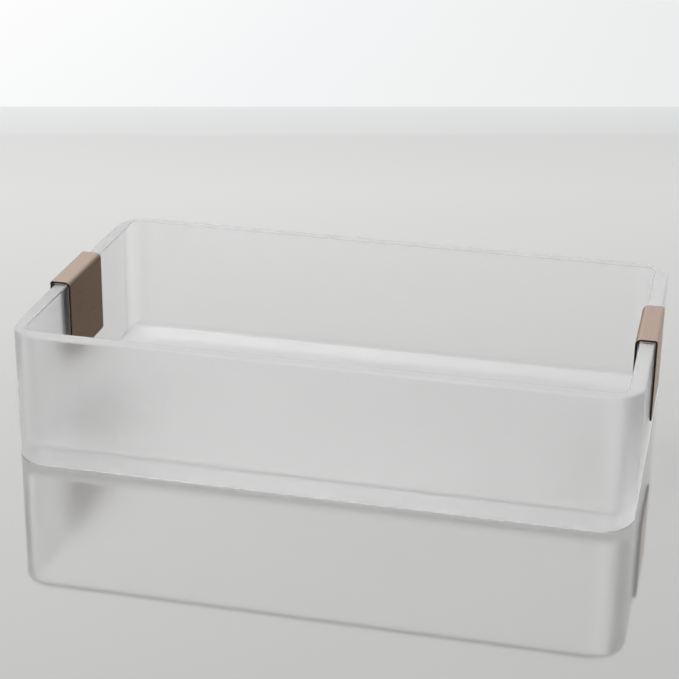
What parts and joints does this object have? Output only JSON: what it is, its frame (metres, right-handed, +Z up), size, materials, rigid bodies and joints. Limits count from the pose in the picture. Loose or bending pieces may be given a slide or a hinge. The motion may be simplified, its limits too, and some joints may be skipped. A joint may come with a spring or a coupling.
{
  "type": "catchall tray",
  "caption": "Open rectangular desk tray in thick frosted clear plastic, with a lined folded sheet-metal clip over the rim of each short side that lifts off.",
  "frame": {"origin": "centre of the tray's underside", "axes": "+X along the long side towards the right-hand clip, +Y towards the back, +Z up out of the open top"},
  "size_m": [0.2326, 0.136, 0.0532],
  "materials": {
    "frosted_plastic": "frosted, translucent, polished rim",
    "mocha_sheet_metal": "satin rose-brown",
    "grey_lining": "matt"
  },
  "bodies": {
    "tray": {"tray_body": "frosted_plastic"},
    "left_clip": {"left_handle_clip": "mocha_sheet_metal", "left_rim_pad": "grey_lining", "left_inner_grip_pad": "grey_lining", "left_outer_grip_pad": "grey_lining"},
    "right_clip": {"right_handle_clip": "mocha_sheet_metal", "right_rim_pad": "grey_lining", "right_inner_grip_pad": "grey_lining", "right_outer_grip_pad": "grey_lining"}
  },
  "joints": [
    {"name": "left_clip_lift", "type": "slide", "parent": "tray", "child": "left_clip", "axis": [0, 0, 1], "range_m": [0, 0.034]},
    {"name": "right_clip_lift", "type": "slide", "parent": "tray", "child": "right_clip", "axis": [0, 0, 1], "range_m": [0, 0.034]}
  ]
}
